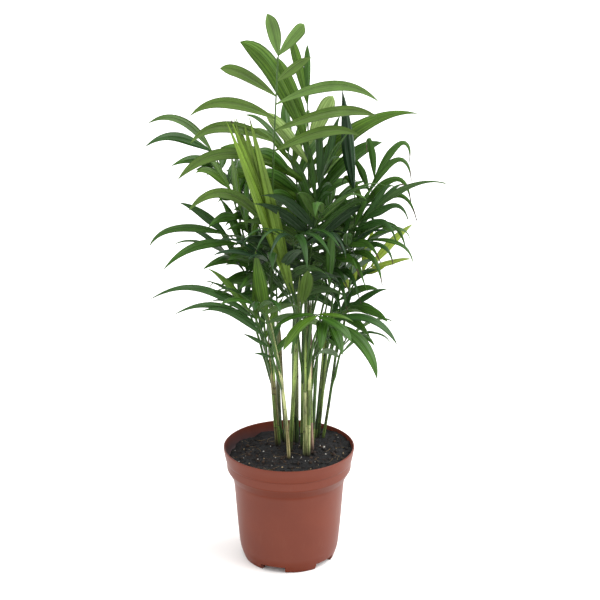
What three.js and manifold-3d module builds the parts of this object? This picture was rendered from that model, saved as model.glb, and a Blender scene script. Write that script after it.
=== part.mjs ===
// Parlour palm in a round plastic nursery pot, millimetres, +Z up.
// The origin is the middle of the pot's underside; -Y is the side the front foot is turned to.
import * as THREE from 'three';
import Module from 'manifold-3d';
import { mergeVertices } from 'three/addons/utils/BufferGeometryUtils.js';

const wasm = await Module();
wasm.setup();

// ---- driving dimensions ----
const rimRadius = 60;        // the usual 12 cm pot, across the outside of the rim
const potHeight = 109;
const wall = 1.3;            // thin moulded wall
const potSides = 40;
const footOuter = 41.5;      // ring the pot stands on
const footInner = 36.5;
const floorUnder = 9;        // underside of the pot's floor
const floorTop = 11.4;
const footCount = 5;
const notchWide = 32;        // degrees left open between two feet
const notchHigh = 6;
const footTurn = -75;        // direction of the front foot's middle
// outside of the pot as [radius, height], from the foot up to the rim
const potOutside = [
  [footOuter, 0], [43.2, 4.5], [45.4, 12], [47.4, 33], [50.2, 71], [51.5, 79],
  [55.6, 86.5], [57, 96], [57.9, 97], [rimRadius, potHeight],
];
const soilTop = 100;         // at the pot's axis
const soilTiltX = 0.055;     // the soil lies higher at the right and at the back
const soilTiltY = 0.035;
const gap = 0.35;            // air kept between two parts

// ---- stems: foot on the soil (x, y), head (x, y, height), radius at foot and head ----
// bow: how far the middle of a stem stands to the right of the straight line
const stems = {
  tall: { foot: [-10, 19], head: [-17, 13, 205], radius: [2.8, 2.0] },
  russet: { foot: [-8, 37], head: [-10, 40, 205], radius: [2.2, 1.7] },
  cream: { foot: [0, -11], head: [-17, -21, 236], radius: [1.6, 1.2], bow: 4 },
  spear: { foot: [1, 5], head: [9, -18, 262], radius: [2.1, 1.5] },
  grey: { foot: [6, 24], head: [6, 27, 220], radius: [3.2, 2.2] },
  slim: { foot: [12, 11], head: [13, 13, 215], radius: [1.5, 1.3] },
  pale: { foot: [16, -4], head: [17, -8, 212], radius: [3.4, 2.5] },
  husk: { foot: [21, 7], head: [20, 9, 205], radius: [2.2, 1.7] },
  moss: { foot: [22, 19], head: [27, 21, 206], radius: [1.7, 1.4] },
  green: { foot: [26, 31], head: [35, 30, 212], radius: [2.7, 2.2] },
  dark: { foot: [25, 42], head: [42, 43, 205], radius: [1.5, 1.2] },
  outer: { foot: [32, 31], head: [45, 27, 205], radius: [1.5, 1.2] },
  left: { foot: [-5, 27], head: [-27, 22, 226], radius: [1.4, 1.1], bow: -1 },
  fawn: { foot: [-2, 20], head: [-8, 26, 204], radius: [1.7, 1.4] },
  rear: { foot: [13, 38], head: [19, 44, 230], radius: [2.6, 1.9] },
};

// ---- fronds ----
// stem and from: where the leaf stalk leaves; az, reach and top: direction, distance and height of the
// rib's end; hug and rise: how far the rib climbs before it leans out; bare: share of the rib without
// leaflets; leaf and wide: longest leaflet; open: angle from the rib at the lowest and the last pair;
// droop: how much a leaflet's tip hangs; vee: how far leaflets rise out of the blade; roll: turn of the
// blade about the rib; last: length of the end pair as a share of the longest; peak: where along a
// leaflet it is widest.
// lengths, opens, widths and droops: for a few fronds, each leaflet's own length, angle, width and
// droop, lowest pair first, one row for each side.
const usual = { hug: 0.2, rise: 0.72, bare: 0.5, pairs: 6, leaf: 75, wide: 9, open: [60, 20],
  droop: 1.3, vee: 22, roll: 0, last: 0.8, lastWide: 1, stagger: 0.012, peak: 0.42 };
const fronds = [
  // the two tall ones in the middle and the folded young leaves
  { name: 'tall', stem: 'tall', from: 196, az: 286, reach: 26, top: 472, hug: 0.4, rise: 0.55, bare: 0.4,
    pairs: 9, wide: 10.5, vee: 6, stagger: -0.015, peak: 0.5, lastWide: 1.1,
    lengths: [[96, 0, 0, 92, 84, 80, 56, 0, 38], [40, 0, 0, 0, 80, 98, 98, 36, 34]],
    opens: [[34, 0, 0, 64, 58, 60, 50, 0, 14], [84, 0, 0, 0, 64, 72, 64, 50, 36]],
    droops: [[1.7, 0, 0, 1.7, 1.2, 1.2, 0.6, 0, 0.4], [0.7, 0, 0, 0, 0.8, 0.7, 1.3, 0.4, 0.4]] },
  { name: 'twin', stem: 'rear', from: 222, az: 98, reach: 6, top: 414, hug: 0.5, rise: 0.5, bare: 0.42,
    pairs: 7, droop: 0.5, vee: 4, stagger: 0.008, peak: 0.62,
    lengths: [[66, 92, 76, 114, 50, 0, 54], [72, 84, 90, 62, 114, 66, 64]],
    opens: [[60, 34, 36, 47, 25, 0, 1], [64, 56, 52, 34, 20, 22, 11]],
    widths: [[11, 12, 12, 14, 14, 0, 6], [11, 12, 12, 12, 17, 9, 8.5]] },
  { name: 'folded', stem: 'spear', from: 256, az: 185, reach: 17, top: 300, hug: 0.45, rise: 0.5,
    bare: 0.1, pairs: 4, wide: 8, droop: 0.05, vee: 0, roll: 90, stagger: 0.03,
    lengths: [[170, 156, 140, 124], [164, 148, 134, 120]], opens: [[0, -3, -6, -9], [7, 9, 6, 11]] },
  { name: 'blade', stem: 'cream', from: 220, az: 215, reach: 4, top: 238, bare: 0.9, pairs: 1, wide: 12,
    roll: 55, vee: 0, lengths: [[0], [68]], opens: [[0], [-1]], droop: 0.03, hug: 0.4, rise: 0.5 },
  { name: 'quill', stem: 'outer', from: 200, az: 18, reach: 12, top: 340, bare: 0.95, pairs: 1, wide: 11,
    roll: 90, vee: 0, lengths: [[0], [94]], opens: [[0], [5]], droop: 0.03, hug: 0.9, rise: 0.5 },
  // left side
  { name: 'left_high', stem: 'left', from: 218, az: 184, reach: 38, top: 380, hug: 0.07, rise: 0.66,
    bare: 0.6, pairs: 5, wide: 10, roll: -32, vee: 6,
    lengths: [[46, 44, 38, 28, 72], [52, 44, 40, 60, 78]],
    opens: [[60, 58, 60, 60, -10], [62, 50, 36, 48, 36]],
    droops: [[0.6, 0.6, 0.5, 0.4, 1.35], [0.7, 0.6, 0.5, 0.7, 0.9]] },
  { name: 'left_mid', stem: 'fawn', from: 190, az: 182, reach: 45, top: 303, hug: 0.15, rise: 0.83,
    bare: 0.45, pairs: 5, wide: 8.5, droop: 1.0, roll: -52, vee: 8,
    lengths: [[40, 44, 46, 48, 52], [46, 52, 54, 84, 80]],
    opens: [[62, 50, 34, 26, 18], [70, 62, 52, 38, 10]] },
  { name: 'left_low', stem: 'cream', from: 180, az: 196, reach: 26, top: 247, hug: 0.3, rise: 0.75,
    bare: 0.3, pairs: 6, wide: 7, droop: 0.8, roll: -64, vee: 6,
    lengths: [[30, 36, 42, 40, 42, 56], [24, 34, 80, 96, 115, 84]],
    opens: [[58, 52, 46, 40, 30, 10], [46, 36, 24, 26, 18, 0]],
    widths: [[6, 6.5, 7, 7, 7, 7], [3.5, 4, 6.5, 7, 7, 7]] },
  { name: 'left_back', stem: 'russet', from: 188, az: 172, reach: 42, top: 276, hug: 0.25, rise: 0.75,
    bare: 0.5, pairs: 5, leaf: 64, wide: 8.5, open: [60, 18], droop: 1.3, last: 0.9 },
  { name: 'left_inner', stem: 'tall', from: 188, az: 196, reach: 32, top: 350, hug: 0.1, rise: 0.72,
    bare: 0.45, pairs: 6, wide: 11, droop: 1.2, roll: -35, vee: 8,
    lengths: [[54, 58, 58, 54, 48, 40], [56, 60, 0, 0, 0, 48]],
    opens: [[58, 52, 45, 38, 28, 10], [60, 52, 44, 40, 36, 20]] },
  // right side
  { name: 'right_high', stem: 'green', from: 204, az: 355, reach: 38, top: 354, hug: 0.3, rise: 0.64,
    bare: 0.62, pairs: 5, wide: 7.5, droop: 1.7, roll: 58, vee: 4,
    lengths: [[74, 84, 74, 70, 64], [40, 44, 46, 46, 54]],
    opens: [[36, 22, 14, 6, 2], [58, 54, 52, 48, 36]] },
  { name: 'right_arm', stem: 'slim', from: 200, az: 342, reach: 62, top: 334, hug: 0.2, rise: 0.72,
    bare: 0.52, pairs: 6, wide: 9.5, droop: 0.8, roll: 36, vee: 6,
    lengths: [[46, 56, 64, 68, 58, 70], [40, 46, 50, 50, 46, 36]],
    opens: [[62, 54, 46, 32, 14, -6], [60, 54, 46, 38, 28, 26]] },
  { name: 'right_mid', stem: 'husk', from: 196, az: 350, reach: 46, top: 304, hug: 0.2, rise: 0.85,
    bare: 0.5, pairs: 7, leaf: 62, wide: 6.8, open: [62, 20], droop: 2.6, last: 0.95, roll: 26, vee: 12 },
  { name: 'right_low', stem: 'husk', from: 182, az: 346, reach: 32, top: 243, hug: 0.25, rise: 0.75,
    bare: 0.45, pairs: 4, wide: 8.5, droop: 1.2, roll: 36, vee: 4,
    lengths: [[36, 44, 50, 48], [24, 28, 26, 38]], opens: [[66, 60, 54, 36], [50, 42, 30, 12]] },
  { name: 'right_skirt', stem: 'outer', from: 166, az: 318, reach: 20, top: 212, hug: 0.3, rise: 0.9,
    bare: 0.4, pairs: 4, leaf: 54, wide: 6.5, open: [52, 18], droop: 1.7, vee: 2 },
  { name: 'right_lit', stem: 'dark', from: 196, az: 20, reach: 34, top: 262, hug: 0.2, rise: 0.86,
    bare: 0.6, pairs: 4, wide: 8, droop: 0.4, roll: 40,
    lengths: [[0, 0, 26, 40], [26, 30, 42, 60]], opens: [[54, 45, 32, 18], [54, 45, 34, 22]] },
  // front
  { name: 'front_right', stem: 'pale', from: 198, az: 308, reach: 27, top: 238, hug: 0.2, rise: 1.0,
    bare: 0.55, pairs: 4, wide: 12, droop: 2.4, lengths: [[0, 72, 60, 46], [32, 44, 78, 74]],
    opens: [[60, 46, 36, 26], [58, 50, 30, 12]] },
  { name: 'front_low', stem: 'pale', from: 206, az: 280, reach: 40, top: 252, hug: 0.3, rise: 0.95,
    bare: 0.8, pairs: 3, wide: 12, droop: 2.4, vee: 8,
    lengths: [[0, 46, 54], [0, 34, 44]], opens: [[60, 70, 48], [60, 80, 40]] },
  { name: 'front_left', stem: 'cream', from: 204, az: 240, reach: 34, top: 262, hug: 0.2, rise: 0.8,
    bare: 0.5, pairs: 4, leaf: 52, wide: 9, open: [60, 24], droop: 1.7 },
  { name: 'front_small', stem: 'spear', from: 234, az: 300, reach: 5, top: 252, hug: 0.3, rise: 0.3,
    bare: 0.9, pairs: 1, wide: 12, roll: -30, vee: 0, lengths: [[0], [35]], opens: [[0], [2]], droop: 0.02,
    peak: 0.6 },
  { name: 'sprout', stem: 'pale', from: 206, az: 334, reach: 16, top: 268, hug: 0.8, rise: 0.4, bare: 0.9,
    pairs: 1, wide: 8.5, roll: -64, vee: 0, lengths: [[0], [52]], opens: [[0], [-3]], droop: 0.02,
    peak: 0.5 },
  // middle
  { name: 'mid_front', stem: 'grey', from: 208, az: 268, reach: 60, top: 318, hug: 0.15, rise: 0.8,
    bare: 0.5, pairs: 7, leaf: 74, wide: 10, open: [48, 16], droop: 1.7, last: 0.95 },
  { name: 'mid_right', stem: 'slim', from: 204, az: 290, reach: 43, top: 338, hug: 0.15, rise: 0.8,
    bare: 0.5, pairs: 7, leaf: 74, wide: 10.5, droop: 1.1 },
  { name: 'mid_left', stem: 'slim', from: 190, az: 228, reach: 44, top: 292, hug: 0.2, rise: 0.8,
    bare: 0.5, pairs: 6, leaf: 70, wide: 9.5, droop: 1.2 },
  { name: 'mid_high', stem: 'grey', from: 212, az: 20, reach: 22, top: 352, hug: 0.3, rise: 0.75, bare: 0.5,
    pairs: 7, leaf: 76, wide: 11, open: [52, 16], droop: 0.8 },
  { name: 'right_inner', stem: 'green', from: 196, az: 296, reach: 36, top: 300, hug: 0.2, rise: 0.8,
    bare: 0.5, pairs: 6, leaf: 66, wide: 9, droop: 1.2 },
  // back
  { name: 'back_high', stem: 'rear', from: 208, az: 130, reach: 24, top: 368, hug: 0.15, rise: 0.8,
    bare: 0.5, pairs: 7, leaf: 70, wide: 10, droop: 1.2 },
  { name: 'back_left', stem: 'russet', from: 196, az: 146, reach: 29, top: 326, hug: 0.2, rise: 0.8,
    bare: 0.5, pairs: 7, leaf: 66, wide: 9.5, droop: 1.3 },
  { name: 'back_mid', stem: 'russet', from: 180, az: 96, reach: 22, top: 268, hug: 0.25, rise: 0.85,
    bare: 0.5, pairs: 6, leaf: 58, wide: 9, droop: 1.6 },
  { name: 'back_right', stem: 'rear', from: 204, az: 50, reach: 28, top: 316, hug: 0.2, rise: 0.8,
    bare: 0.5, pairs: 7, leaf: 58, wide: 9, droop: 1.5 },
  { name: 'back_low', stem: 'dark', from: 186, az: 66, reach: 26, top: 252, hug: 0.25, rise: 0.8,
    bare: 0.5, pairs: 5, leaf: 48, wide: 8, open: [62, 22], droop: 1.3 },
  { name: 'rear_low', stem: 'left', from: 186, az: 134, reach: 38, top: 238, hug: 0.3, rise: 0.85,
    bare: 0.55, pairs: 5, leaf: 44, wide: 5.5, droop: 1.3 },
];

// ---- small helpers ----
const vec = (x, y, z) => new THREE.Vector3(x, y, z);
const up = vec(0, 0, 1);
const rad = THREE.MathUtils.degToRad;
const mix = THREE.MathUtils.lerp;
const soilAt = (x, y) => soilTop + soilTiltX * x + soilTiltY * y;

// a repeatable number between -1 and 1 for leaflet k of frond f
function sway(f, k) {
  const v = Math.sin(f * 12.9898 + k * 78.233 + 1.7) * 43758.5453;
  return 2 * (v - Math.floor(v)) - 1;
}

// closed body from rings of equal length; tip closes the last ring to a point
function loft(rings, tip) {
  const n = rings[0].length;
  const pts = rings.flat();
  const tris = [];
  for (let k = 1; k < n - 1; k++) tris.push([0, k + 1, k]);
  for (let r = 0; r < rings.length - 1; r++) {
    for (let k = 0; k < n; k++) {
      const a = r * n + k;
      const b = r * n + (k + 1) % n;
      tris.push([a, b, b + n], [a, b + n, a + n]);
    }
  }
  const base = (rings.length - 1) * n;
  if (tip) {
    pts.push(tip);
    for (let k = 0; k < n; k++) tris.push([base + k, base + (k + 1) % n, pts.length - 1]);
  } else {
    for (let k = 1; k < n - 1; k++) tris.push([base, base + k, base + k + 1]);
  }
  return solid(pts, tris);
}

function solid(pts, tris) {
  let volume = 0;
  for (const [a, b, c] of tris) volume += pts[a].dot(pts[b].clone().cross(pts[c]));
  const flat = volume < 0 ? tris.map(([a, b, c]) => [a, c, b]) : tris;
  return new wasm.Manifold(new wasm.Mesh({
    numProp: 3,
    vertProperties: new Float32Array(pts.flatMap((p) => [p.x, p.y, p.z])),
    triVerts: new Uint32Array(flat.flat()),
  }));
}

function turned(profile) {
  const lathe = new THREE.LatheGeometry(profile.map(([r, z]) => new THREE.Vector2(r, z)), potSides);
  lathe.rotateX(Math.PI / 2);
  for (const name of ['normal', 'uv']) lathe.deleteAttribute(name);
  const g = mergeVertices(lathe, 1e-4);
  const at = g.getAttribute('position');
  const pts = Array.from({ length: at.count }, (_, i) => vec().fromBufferAttribute(at, i));
  const idx = Array.from(g.getIndex().array);
  const tris = [];
  for (let i = 0; i < idx.length; i += 3) {
    const t = idx.slice(i, i + 3);
    if (new Set(t).size === 3) tris.push(t);
  }
  return solid(pts, tris);
}

// ---- pot and soil ----
function buildPot() {
  const inside = potOutside.slice(2).reverse().map(([r, z], i) => [r - wall, i === 0 ? z : z + 0.4]);
  inside[inside.length - 1][1] = floorTop;
  let pot = turned([
    [0, floorUnder], [footInner, floorUnder], [footInner + 0.5, 0], ...potOutside,
    ...inside, [0, floorTop],
  ]);
  for (let i = 0; i < footCount; i++) {
    const middle = footTurn + (i + 0.5) * 360 / footCount;
    const ring = (z) => [[30, -1], [50, -1], [50, 1], [30, 1]].map(([r, s]) => {
      const a = rad(middle + s * notchWide / 2);
      return vec(r * Math.cos(a), r * Math.sin(a), z);
    });
    pot = pot.subtract(loft([ring(-2), ring(notchHigh)]));
  }
  return pot;
}

function buildSoil() {
  const ring = (r, z) => Array.from({ length: potSides }, (_, k) => {
    const a = k * 2 * Math.PI / potSides;
    const p = vec(r * Math.sin(a), -r * Math.cos(a), 0);
    return p.setZ(z ?? soilAt(p.x, p.y));
  });
  const inset = wall + gap + 0.1;
  const side = potOutside.slice(2, 8).map(([r, z]) => ring(r - inset, Math.max(z, floorTop + gap)));
  side.pop();
  return loft([...side, ring(potOutside[7][0] - inset - 0.2), ring(30)], vec(0, 0, soilTop));
}

// ---- stems ----
function stemPoint(stem, z) {
  const low = soilAt(...stem.foot);
  const t = (z - low) / (stem.head[2] - low);
  const bow = 4 * t * (1 - t) * (stem.bow ?? 0);
  return vec(mix(stem.foot[0], stem.head[0], t) + bow, mix(stem.foot[1], stem.head[1], t), z);
}

function stemRadius(stem, z) {
  const low = soilAt(...stem.foot);
  return mix(stem.radius[0], stem.radius[1], (z - low) / (stem.head[2] - low));
}

function buildStem(stem) {
  const low = soilAt(...stem.foot) + gap + 0.25;
  const shares = stem.bow ? [0, 0.25, 0.5, 0.75, 1] : [0, 0.5, 1];
  const rings = shares.map((t) => {
    const z = mix(low, stem.head[2], t);
    const at = stemPoint(stem, z);
    const r = stemRadius(stem, z);
    return Array.from({ length: 7 }, (_, k) => {
      const a = k * 2 * Math.PI / 7;
      return at.clone().add(vec(r * Math.cos(a), r * Math.sin(a), 0));
    });
  });
  return loft(rings);
}

// ---- fronds ----
function ribOf(f) {
  const stem = stems[f.stem];
  const a = rad(f.az);
  const out = vec(Math.cos(a), Math.sin(a), 0);
  const root = stemPoint(stem, f.from).addScaledVector(out, stemRadius(stem, f.from) + gap + 1.7);
  const end = root.clone().addScaledVector(out, f.reach).setZ(f.top);
  const high = mix(f.from, f.top, f.rise);
  const bend = root.clone().addScaledVector(out, f.reach * f.hug).setZ(high)
    .add(stemPoint(stem, high).sub(stemPoint(stem, f.from)).setZ(0).multiplyScalar(0.35));
  const curve = new THREE.QuadraticBezierCurve3(root, bend, end);
  const steps = f.pairs > 2 ? 6 : 3;
  const joints = Array.from({ length: steps + 1 }, (_, i) => curve.getPointAt(i / steps));
  // a point on the jointed rib, t from 0 at its root to 1 at its end
  const pointAt = (t) => {
    const i = Math.min(Math.floor(t * steps), steps - 1);
    return joints[i].clone().lerp(joints[i + 1], t * steps - i);
  };
  return { curve, joints, pointAt, side: vec(-Math.sin(a), Math.cos(a), 0) };
}

const ribRadius = (t) => mix(1.3, 0.7, t);

function buildRib(f) {
  const { curve, joints, side } = ribOf(f);
  return loft(joints.map((at, i) => {
    const t = i / (joints.length - 1);
    const face = side.clone().cross(curve.getTangentAt(t)).normalize();
    const r = ribRadius(t) * Math.SQRT1_2;
    return [[r, r], [-r, r], [-r, -r], [r, -r]].map(([s, n]) => at.clone().addScaledVector(side, s)
      .addScaledVector(face, n));
  }));
}

// where leaflet (pair i, side -1 or 1) leaves the rib, its heading and sizes
function leafletOf(f, order, i, hand, lift) {
  const { curve, pointAt, side } = ribOf(f);
  const k = 2 * i + (hand > 0 ? 1 : 0);
  const u = f.pairs > 1 ? i / (f.pairs - 1) : 1;
  const end = i === f.pairs - 1;
  let t = mix(f.bare, 1, u);
  if (!end) t += f.stagger * hand + 0.008 * sway(order, k);
  t = Math.min(t, 0.995);
  const at = pointAt(t);
  const along = curve.getTangentAt(t);
  const face = side.clone().cross(along).normalize();
  const across = side.clone().applyAxisAngle(along, rad(f.roll));
  face.applyAxisAngle(along, rad(f.roll));
  const row = hand > 0 ? 1 : 0;
  const ruled = mix(f.open[0], f.open[1], Math.pow(u, 1.3)) + 4 * sway(order, k + 40);
  const open = rad(f.opens ? f.opens[row][i] : ruled);
  const vee = rad(f.vee + 6 * sway(order, k + 80) + lift);
  const heading = along.clone().multiplyScalar(Math.cos(open))
    .addScaledVector(across, hand * Math.cos(vee) * Math.sin(open))
    .addScaledVector(face, -Math.sin(vee) * Math.sin(open));
  const middle = Math.sin(Math.PI * mix(0.2, 0.8, u));
  const share = end ? f.last : mix(0.7, 1, middle) * (1 + 0.07 * sway(order, k + 120));
  const length = f.lengths ? f.lengths[row][i] : f.leaf * share;
  return {
    at, along, heading, length, peak: f.peak,
    width: f.widths ? f.widths[row][i] : f.wide * (end ? f.lastWide : mix(0.82, 1, middle)),
    droop: f.droops ? f.droops[row][i] : f.droop * (length / 80) * (1 + 0.2 * sway(order, k + 160)),
    twist: rad(14 * sway(order, k + 200)),
  };
}

// half width of a leaflet along its length: a narrow root, widest at peak, then drawn out to a point
function outline(s, peak) {
  const rise = mix(0.1, 1, Math.sin(Math.min(s / peak, 1) * Math.PI / 2));
  const fall = s > peak ? 1 - Math.pow((s - peak) / (1 - peak), 2) : 1;
  return rise * fall;
}

// middle line of a leaflet: it sets off along its heading and bends down under its own weight; wide is
// the direction of the blade's width, carried along the line without turning
function leafletPath(l) {
  const steps = 20;
  const at = l.at.clone();
  let wide = l.along;
  const path = [];
  for (let i = 0; i <= steps; i++) {
    const s = i / steps;
    const d = l.heading.clone().addScaledVector(up, -l.droop * (0.35 * s + 0.65 * s * s)).normalize();
    wide = wide.clone().addScaledVector(d, -wide.dot(d)).normalize();
    path.push({ at: at.clone(), d, wide });
    at.addScaledVector(d, l.length / steps);
  }
  return (s) => path[Math.round(s * steps)];
}

function buildLeaflet(l, grow) {
  const path = leafletPath(l);
  const full = Math.max(1.2, l.length / 80);
  const rings = [0, 0.25, 0.5, 0.75].map((s) => {
    const thick = s ? full : full / 2;
    const { at, d, wide } = path(s);
    const w = wide.clone().applyAxisAngle(d, l.twist * s);
    const n = w.clone().cross(d);
    const h = 0.5 * l.width * outline(s, l.peak) + grow;
    return [
      at.clone().addScaledVector(w, -h).addScaledVector(n, -thick / 2 - grow),
      at.clone().addScaledVector(w, h).addScaledVector(n, -thick / 2 - grow),
      at.clone().addScaledVector(n, thick / 2 + grow),
    ];
  });
  const { at, d } = path(1);
  return loft(rings, at.clone().addScaledVector(d, grow));
}

// ---- assembly ----
// the biggest connected skin of a body, without loose scraps and without pockets shut in between leaflets
function outerSkin(mesh) {
  const root = Array.from({ length: mesh.vertProperties.length / 3 }, (_, i) => i);
  const find = (i) => {
    while (root[i] !== i) i = root[i] = root[root[i]];
    return i;
  };
  const t = mesh.triVerts;
  for (let i = 0; i < t.length; i += 3) {
    root[find(t[i + 1])] = find(t[i]);
    root[find(t[i + 2])] = find(t[i]);
  }
  const parts = new Map();
  for (let i = 0; i < t.length; i += 3) {
    const k = find(t[i]);
    if (!parts.has(k)) parts.set(k, []);
    parts.get(k).push(t[i], t[i + 1], t[i + 2]);
  }
  return [...parts.values()].sort((a, b) => b.length - a.length)[0];
}

const group = new THREE.Group();
function add(name, body, colour, roughness) {
  const m = body.getMesh();
  const g = new THREE.BufferGeometry();
  g.setAttribute('position', new THREE.BufferAttribute(new Float32Array(m.vertProperties), 3));
  g.setIndex(new THREE.BufferAttribute(new Uint32Array(outerSkin(m)), 1));
  const look = new THREE.MeshStandardMaterial({ color: colour, roughness, metalness: 0 });
  const mesh = new THREE.Mesh(g, look);
  mesh.name = name;
  group.add(mesh);
}

add('pot', buildPot(), 0xa9573f, 0.5);
add('soil', buildSoil(), 0x2b2420, 0.95);

const solids = [];
function keep(owner, body) {
  const b = body.boundingBox();
  solids.push({ owner, body, min: b.min, max: b.max });
}
function touches(owner, body) {
  const b = body.boundingBox();
  return solids.some((o) => o.owner !== owner
    && [0, 1, 2].every((i) => b.min[i] < o.max[i] && b.max[i] > o.min[i])
    && !body.intersect(o.body).isEmpty());
}

for (const [name, stem] of Object.entries(stems)) {
  const body = buildStem(stem);
  keep(name + '_stem', body);
  add('stem_' + name, body, 0x8c9a58, 0.6);
}

const ready = fronds.map((f) => ({ ...usual, ...f }));
const ribs = ready.map((f) => {
  const body = buildRib(f);
  keep(f.name, body);
  return body;
});
// a leaflet that would touch a stem or another frond is tilted a little, or left out
ready.forEach((f, order) => {
  let body = ribs[order];
  for (let i = 0; i < f.pairs; i++) {
    for (const hand of [-1, 1]) {
      for (const lift of [0, 10, -10, 20, -20, 32, -32]) {
        const l = leafletOf(f, order, i, hand, lift);
        if (!l.length) break;
        if (touches(f.name, buildLeaflet(l, gap))) continue;
        const leaf = buildLeaflet(l, 0);
        keep(f.name, leaf);
        body = body.add(leaf);
        break;
      }
    }
  }
  add('frond_' + f.name, body, 0x4b7a38, 0.5);
});

export default group;
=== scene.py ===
import random
from functools import partial
from math import cos, exp, floor, hypot, pi, radians, sin

import bmesh
import bpy
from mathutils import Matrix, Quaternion, Vector, noise


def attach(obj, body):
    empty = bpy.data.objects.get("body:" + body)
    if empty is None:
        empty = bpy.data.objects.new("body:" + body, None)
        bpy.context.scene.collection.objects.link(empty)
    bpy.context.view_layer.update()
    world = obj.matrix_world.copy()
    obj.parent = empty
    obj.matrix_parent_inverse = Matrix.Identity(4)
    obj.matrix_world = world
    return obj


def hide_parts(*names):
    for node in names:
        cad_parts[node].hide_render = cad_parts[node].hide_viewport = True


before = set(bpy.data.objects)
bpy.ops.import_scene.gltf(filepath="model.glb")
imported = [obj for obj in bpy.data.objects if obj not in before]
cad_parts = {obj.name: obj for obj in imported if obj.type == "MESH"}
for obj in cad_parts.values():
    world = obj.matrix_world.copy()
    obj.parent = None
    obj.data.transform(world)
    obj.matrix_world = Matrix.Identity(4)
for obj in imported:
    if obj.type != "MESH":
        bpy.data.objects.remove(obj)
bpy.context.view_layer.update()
print("frame loaded:", len(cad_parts), "nodes")

mm = 0.001
up = Vector((0, 0, 1))
fullTurn = 2 * pi
uvSpan = 100  # millimetres along a piece for one unit of its UV map


def mix(a, b, t):
    return a + (b - a) * t


def direction(degrees):
    return Vector((cos(radians(degrees)), sin(radians(degrees)), 0))


# camera, light and floor
studio = {
    "eye": (0, -1.45, 0.741), "tilt": 71.25, "turn": -0.40, "lens": 103.4, "sensor": 36, "clipEnd": 30,
    "sky": "#ffffff", "skyStrength": 1.28,
    # a big softbox, high on the right, and a weak fill card at the left: place, width in degrees, strength
    "lamps": {"softbox": ((1.25, -0.15, 1.15), 60, 3.3), "fill_card": ((-1.2, -0.1, 0.7), 70, 0.5)},
}
# painted studio floor: matt white emulsion, near white under the softbox
emulsion = {
    "width": 12, "colour": "#f7f5f2", "spots": "#ffffff", "grain": 40,
    "ior": 1.45, "shine": 0.5, "rough": (0, 1, 0.85, 0.95), "relief": {"Strength": 0.02},
}
# a pattern between the first two values is spread over the other two; the looks give the four in a row
limits = ("From Min", "From Max", "To Min", "To Max")


def linear(hexColour):  # sRGB hex to the linear colour that shaders take
    def channel(text):
        c = int(text, 16) / 255
        return c / 12.92 if c <= 0.04045 else ((c + 0.055) / 1.055) ** 2.4
    return (*(channel(hexColour[i:i + 2]) for i in (1, 3, 5)), 1)


def addNode(tree, kind, inputs=None, **settings):
    # an input takes a fixed value, the output of a node, or a node for its first output
    node = tree.nodes.new("ShaderNode" + kind)
    for name, value in settings.items():
        setattr(node, name, value)
    for name, value in (inputs or {}).items():
        source = value.outputs[0] if isinstance(value, bpy.types.Node) else value
        if isinstance(source, bpy.types.NodeSocket):
            tree.links.new(source, node.inputs[name])
        else:
            node.inputs[name].default_value = source
    return node


def makeMaterial(name, look, paint, *colours):
    # paint adds the nodes of the colour and gives it with the patterns of the roughness and the relief
    material = bpy.data.materials.new(name)
    material.use_nodes = True
    material.node_tree.nodes.clear()
    add = partial(addNode, material.node_tree)
    tone, dull, height = paint(add, add("TexCoord").outputs, *colours)
    rough = add("MapRange", {"Value": dull, **dict(zip(limits, look["rough"]))})
    bump = add("Bump", {"Height": height, **look["relief"]})
    shader = add("BsdfPrincipled", {"Base Color": tone, "Roughness": rough, "Normal": bump,
                                    "IOR": look["ior"], "Specular IOR Level": look["shine"]})
    add("OutputMaterial", {"Surface": shader})
    return material


def floorPaint(add, place):
    grain = add("TexNoise", {"Scale": emulsion["grain"], "Detail": 3})
    tone = add("MixRGB", {"Fac": grain, "Color1": linear(emulsion["colour"]),
                          "Color2": linear(emulsion["spots"])})
    return tone, grain, grain


def putObject(name, data):
    thing = bpy.data.objects.new(name, data)
    bpy.context.scene.collection.objects.link(thing)
    return thing


def makeStudio():
    scene = bpy.context.scene
    scene.view_settings.view_transform = "Standard"
    eye = putObject("camera", bpy.data.cameras.new("camera"))
    eye.location = studio["eye"]
    eye.rotation_euler = (radians(studio["tilt"]), 0, radians(studio["turn"]))
    eye.data.lens = studio["lens"]
    eye.data.sensor_width = studio["sensor"]
    eye.data.clip_end = studio["clipEnd"]
    scene.camera = eye

    world = bpy.data.worlds.new("studio")
    world.use_nodes = True
    sky = world.node_tree.nodes["Background"]
    sky.inputs["Color"].default_value = linear(studio["sky"])
    sky.inputs["Strength"].default_value = studio["skyStrength"]
    scene.world = world

    for name, (source, wide, power) in studio["lamps"].items():
        lamp = bpy.data.lights.new(name, "SUN")
        lamp.angle = radians(wide)
        lamp.energy = power
        putObject(name, lamp).rotation_euler = Vector(source).to_track_quat("Z", "Y").to_euler()

    half = emulsion["width"] / 2
    corners = [(x * half, y * half, 0) for x, y in ((-1, -1), (1, -1), (1, 1), (-1, 1))]
    mesh = bpy.data.meshes.new("floor")
    mesh.from_pydata(corners, [], [(0, 1, 2, 3)])
    mesh.materials.append(makeMaterial("matt_white_emulsion", emulsion, floorPaint))
    putObject("floor", mesh)


makeStudio()
print("studio ready")


# meshes from rings of points, in millimetres
def newShape():
    return {"points": [], "faces": [], "slots": [], "uvs": [], "sharp": set()}


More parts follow.
